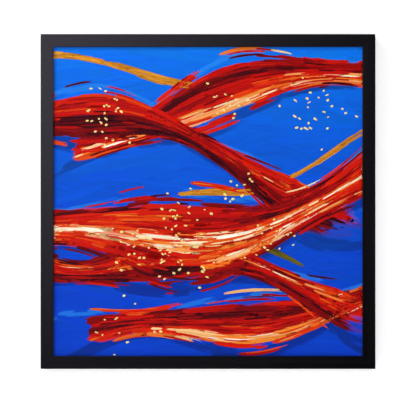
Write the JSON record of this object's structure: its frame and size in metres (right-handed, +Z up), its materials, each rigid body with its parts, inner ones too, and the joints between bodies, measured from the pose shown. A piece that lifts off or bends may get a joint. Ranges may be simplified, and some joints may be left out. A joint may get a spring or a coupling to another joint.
{
  "type": "framed canvas painting",
  "caption": "Square stretched canvas with an abstract painting in a narrow black mitred frame, with a wooden stretcher behind and a sawtooth hanger for a wall nail.",
  "frame": {"origin": "the point on the wall where the nail carries the middle notch of the sawtooth hanger, behind the top rail", "axes": "+X to the right as seen from the front, +Y into the wall, so that the picture faces -Y, +Z up"},
  "size_m": [0.531, 0.034, 0.531],
  "materials": {
    "black_frame": "satin black paint over fine lengthwise grain",
    "pine": "planed, bare",
    "beech": "sawn, bare",
    "canvas": "woven cotton, painted in front, bare behind",
    "zinc_steel": "zinc plated",
    "pad_rubber": "matt"
  },
  "bodies": {
    "root": {"rail_top": "black_frame", "rail_bottom": "black_frame", "rail_left": "black_frame", "rail_right": "black_frame", "stretcher_top": "pine", "stretcher_bottom": "pine", "stretcher_left": "pine", "stretcher_right": "pine", "wedge_1": "beech", "wedge_2": "beech", "wedge_3": "beech", "wedge_4": "beech", "wedge_5": "beech", "wedge_6": "beech", "wedge_7": "beech", "wedge_8": "beech", "canvas": "canvas", "staple_01": "zinc_steel", "staple_02": "zinc_steel", "staple_03": "zinc_steel", "staple_04": "zinc_steel", "staple_05": "zinc_steel", "staple_06": "zinc_steel", "staple_07": "zinc_steel", "staple_08": "zinc_steel", "staple_09": "zinc_steel", "staple_10": "zinc_steel", "staple_11": "zinc_steel", "staple_12": "zinc_steel", "staple_13": "zinc_steel", "staple_14": "zinc_steel", "staple_15": "zinc_steel", "staple_16": "zinc_steel", "staple_17": "zinc_steel", "staple_18": "zinc_steel", "staple_19": "zinc_steel", "staple_20": "zinc_steel", "corner_nail_1": "zinc_steel", "corner_nail_2": "zinc_steel", "corner_nail_3": "zinc_steel", "corner_nail_4": "zinc_steel", "corner_nail_5": "zinc_steel", "corner_nail_6": "zinc_steel", "corner_nail_7": "zinc_steel", "corner_nail_8": "zinc_steel", "offset_clip_1": "zinc_steel", "offset_clip_2": "zinc_steel", "offset_clip_3": "zinc_steel", "offset_clip_4": "zinc_steel", "clip_screw_1": "zinc_steel", "clip_screw_2": "zinc_steel", "clip_screw_3": "zinc_steel", "clip_screw_4": "zinc_steel", "hanger": "zinc_steel", "hanger_nail_1": "zinc_steel", "hanger_nail_2": "zinc_steel", "wall_pad_1": "pad_rubber", "wall_pad_2": "pad_rubber"}
  },
  "joints": []
}
